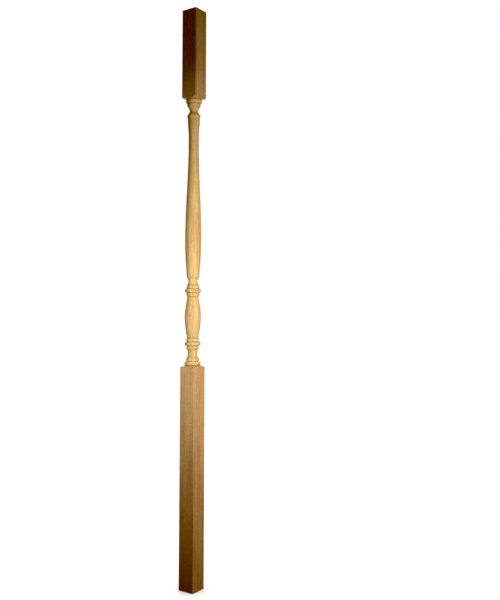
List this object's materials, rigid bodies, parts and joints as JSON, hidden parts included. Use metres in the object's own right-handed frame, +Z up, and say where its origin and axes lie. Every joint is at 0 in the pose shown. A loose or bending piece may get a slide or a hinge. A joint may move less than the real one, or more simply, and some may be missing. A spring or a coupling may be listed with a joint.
{
  "type": "stair baluster",
  "caption": "Slender wooden stair baluster with square ends and a turned middle: collars, hollow necks, a long tapered column and a small vase between beads.",
  "frame": {"origin": "middle of the foot, on the sawn end that meets the tread", "axes": "+Z up along the turning axis, X and Y square to the four planed faces"},
  "size_m": [0.0318, 0.0318, 1.0414],
  "materials": {
    "turned_wood": "bare golden hardwood, finely sanded, with a faint satin sheen"
  },
  "bodies": {
    "root": {"baluster": "turned_wood"}
  },
  "joints": []
}
